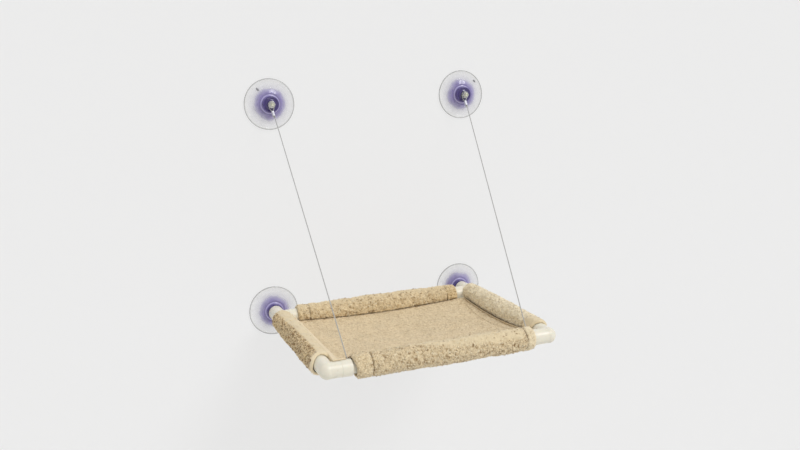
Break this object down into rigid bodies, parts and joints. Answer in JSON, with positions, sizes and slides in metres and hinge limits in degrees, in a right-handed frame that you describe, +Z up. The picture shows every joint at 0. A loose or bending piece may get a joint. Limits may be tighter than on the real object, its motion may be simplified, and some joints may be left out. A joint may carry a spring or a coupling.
{
  "type": "window mounted cat perch",
  "caption": "Fleece cat bed on a plastic tube frame, hung on a window by suction cups and thin cables, with a bed that lifts at its front.",
  "frame": {"origin": "in the glass plane, midway between the axes of the two lower suction cups", "axes": "+Y into the glass, +Z up, +X to the right as seen from the room"},
  "size_m": [0.608, 0.47, 0.595],
  "materials": {
    "clear_vinyl": "clear glossy vinyl",
    "violet_vinyl": "tinted glossy vinyl",
    "zinc_steel": "zinc plated",
    "cable_coating": "vinyl-coated steel cable",
    "ferrule_metal": "crimped",
    "ivory_plastic": "semi-gloss moulded",
    "curly_fleece": "short curly pile"
  },
  "bodies": {
    "window_side": {"upper_left_cup": "clear_vinyl", "upper_right_cup": "clear_vinyl", "lower_left_cup": "clear_vinyl", "lower_right_cup": "clear_vinyl", "upper_left_hub": "violet_vinyl", "upper_right_hub": "violet_vinyl", "lower_left_hub": "violet_vinyl", "lower_right_hub": "violet_vinyl", "upper_left_stud": "zinc_steel", "upper_right_stud": "zinc_steel", "upper_left_inner_washer": "zinc_steel", "upper_right_inner_washer": "zinc_steel", "left_cable": "cable_coating", "right_cable": "cable_coating", "upper_left_ferrule": "ferrule_metal", "upper_right_ferrule": "ferrule_metal"},
    "bed": {"lower_left_stud": "zinc_steel", "lower_right_stud": "zinc_steel", "lower_left_washer": "zinc_steel", "lower_right_washer": "zinc_steel", "lower_left_nut": "zinc_steel", "lower_right_nut": "zinc_steel", "rear_left_end_plug": "ivory_plastic", "rear_right_end_plug": "ivory_plastic", "rear_left_tee": "ivory_plastic", "rear_right_tee": "ivory_plastic", "front_left_elbow": "ivory_plastic", "front_right_elbow": "ivory_plastic", "front_rail": "ivory_plastic", "rear_rail": "ivory_plastic", "left_rail": "ivory_plastic", "right_rail": "ivory_plastic", "lower_left_ferrule": "ferrule_metal", "lower_right_ferrule": "ferrule_metal", "front_sleeve": "curly_fleece", "rear_sleeve": "curly_fleece", "left_sleeve": "curly_fleece", "right_sleeve": "curly_fleece", "bed_panel": "curly_fleece"},
    "left_clamp": {"upper_left_outer_washer": "zinc_steel"},
    "left_nut": {"upper_left_nut": "zinc_steel"},
    "right_clamp": {"upper_right_outer_washer": "zinc_steel"},
    "right_nut": {"upper_right_nut": "zinc_steel"}
  },
  "joints": [
    {"name": "bed_lift", "type": "hinge", "parent": "window_side", "child": "bed", "pos_m": [0, -0.012, 0], "axis": [-1, 0, 0], "range_deg": [0, 15], "deforming": ["lower_left_hub", "lower_right_hub", "left_cable", "right_cable"]},
    {"name": "left_washer_slide", "type": "slide", "parent": "window_side", "child": "left_clamp", "axis": [0, -1, 0], "range_m": [0, 0.00125]},
    {"name": "left_nut_turn", "type": "hinge", "parent": "left_clamp", "child": "left_nut", "pos_m": [-0.2185, -0.03, 0.48], "axis": [0, -1, 0], "range_deg": [0, 360]},
    {"name": "right_washer_slide", "type": "slide", "parent": "window_side", "child": "right_clamp", "axis": [0, -1, 0], "range_m": [0, 0.00125]},
    {"name": "right_nut_turn", "type": "hinge", "parent": "right_clamp", "child": "right_nut", "pos_m": [0.2555, -0.03, 0.48], "axis": [0, -1, 0], "range_deg": [0, 360]}
  ],
  "couplings": [
    {"joint": "left_washer_slide", "follows": "left_nut_turn", "m_per_rad": 0.00019892},
    {"joint": "right_washer_slide", "follows": "right_nut_turn", "m_per_rad": 0.00019892}
  ]
}
